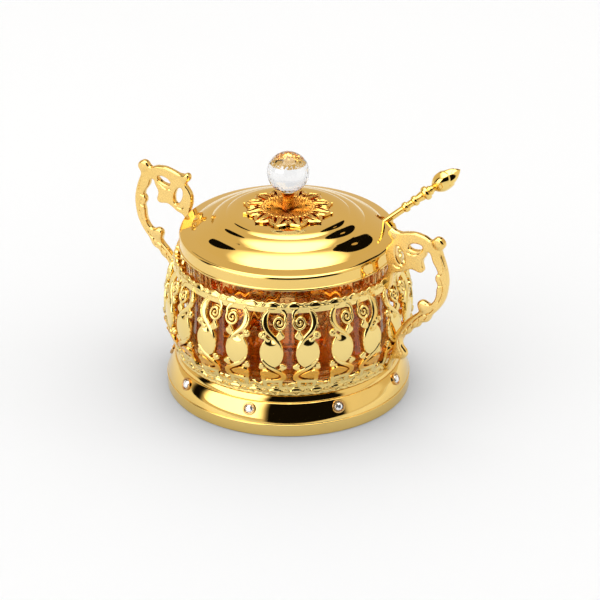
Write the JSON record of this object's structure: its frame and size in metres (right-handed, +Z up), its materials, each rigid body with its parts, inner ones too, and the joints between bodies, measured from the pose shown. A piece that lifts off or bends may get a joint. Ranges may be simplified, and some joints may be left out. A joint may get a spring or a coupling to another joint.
{
  "type": "lidded serving bowl",
  "caption": "Footed gold-plated serving bowl with an openwork basket, a lift-out glass liner, scroll handles, a stepped lift-off lid with a faceted crystal knob, and a spoon in a rim notch.",
  "frame": {"origin": "centre of the foot's underside, on the surface it stands on", "axes": "+Z up, +X towards the right handle, the spoon leans towards +X and +Y"},
  "size_m": [0.1758, 0.1194, 0.1201],
  "materials": {
    "gold_polished": "mirror-polished gold plate on brass sheet",
    "gold_cast": "bright gold plate on a cast relief",
    "gold_satin": "satin gold plate on a casting",
    "glass_amber": "amber-tinted pressed glass",
    "crystal": "cut crystal, polished facets",
    "felt": "dark felt over board",
    "steel": "plain screw steel"
  },
  "bodies": {
    "base": {"base_skirt": "gold_polished", "stone_cups": "gold_polished", "base_stones": "crystal", "foot_pad": "felt", "base_screws": "steel", "bottom_band": "gold_cast", "basket_columns": "gold_cast", "top_band": "gold_cast", "handle_right": "gold_satin", "handle_left": "gold_satin", "handle_rivets": "gold_satin"},
    "liner": {"glass_bowl": "glass_amber"},
    "lid": {"lid_shell": "gold_polished", "lid_rosette": "gold_cast", "knob_post": "gold_polished", "crystal_ball": "crystal", "knob_washer": "steel", "knob_screw": "steel"},
    "spoon": {"spoon_scoop": "gold_polished", "spoon_stem": "gold_polished", "spoon_finial": "gold_polished"}
  },
  "joints": [
    {"name": "liner_lift", "type": "slide", "parent": "base", "child": "liner", "axis": [0, 0, 1], "range_m": [0, 0.055]},
    {"name": "lid_lift", "type": "slide", "parent": "liner", "child": "lid", "axis": [0, 0, 1], "range_m": [0, 0.055]},
    {"name": "spoon_draw", "type": "slide", "parent": "liner", "child": "spoon", "axis": [0.6101, 0.569, 0.5514], "range_m": [0, 0.05]}
  ]
}
